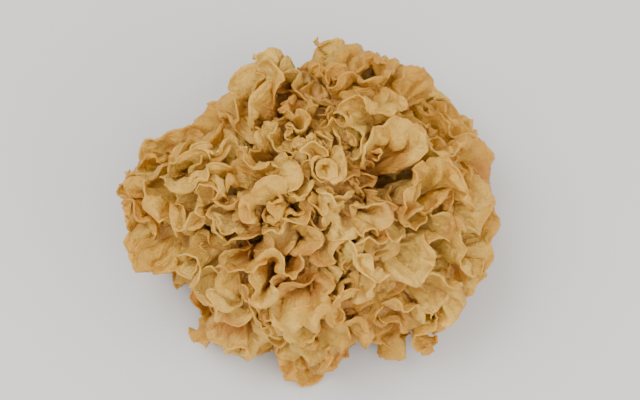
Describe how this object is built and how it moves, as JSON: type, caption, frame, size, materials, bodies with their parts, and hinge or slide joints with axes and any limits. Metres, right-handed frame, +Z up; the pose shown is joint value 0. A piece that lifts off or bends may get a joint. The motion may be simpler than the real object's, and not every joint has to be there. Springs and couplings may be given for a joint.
{
  "type": "dried snow fungus",
  "caption": "One dried snow fungus head: a hard foot cut flat below, with rings of thin ruffled fronds that fan out from it into a full rosette.",
  "frame": {"origin": "middle of the foot's flat cut face, which the head rests on", "axes": "+Z up from the cut towards the crown, +X along the head's longest side"},
  "size_m": [0.0755, 0.0703, 0.0482],
  "materials": {
    "foot": "hard, dried, amber brown and matt",
    "heart_frond": "thin, dried, waxy and translucent",
    "inner_frond": "thin, dried, waxy and translucent",
    "middle_frond": "thin, dried, waxy and translucent",
    "outer_frond": "thin, dried, waxy and translucent",
    "skirt_frond": "thin, dried, waxy and translucent"
  },
  "bodies": {
    "root": {"foot": "foot", "heart_frond_1": "heart_frond", "inner_frond_1": "inner_frond", "inner_frond_2": "inner_frond", "inner_frond_3": "inner_frond", "inner_frond_4": "inner_frond", "middle_frond_1": "middle_frond", "middle_frond_2": "middle_frond", "middle_frond_3": "middle_frond", "middle_frond_4": "middle_frond", "middle_frond_5": "middle_frond", "middle_frond_6": "middle_frond", "outer_frond_1": "outer_frond", "outer_frond_2": "outer_frond", "outer_frond_3": "outer_frond", "outer_frond_4": "outer_frond", "outer_frond_5": "outer_frond", "outer_frond_6": "outer_frond", "outer_frond_7": "outer_frond", "skirt_frond_1": "skirt_frond", "skirt_frond_2": "skirt_frond", "skirt_frond_3": "skirt_frond", "skirt_frond_4": "skirt_frond", "skirt_frond_5": "skirt_frond", "skirt_frond_6": "skirt_frond", "skirt_frond_7": "skirt_frond", "skirt_frond_8": "skirt_frond"}
  },
  "joints": []
}
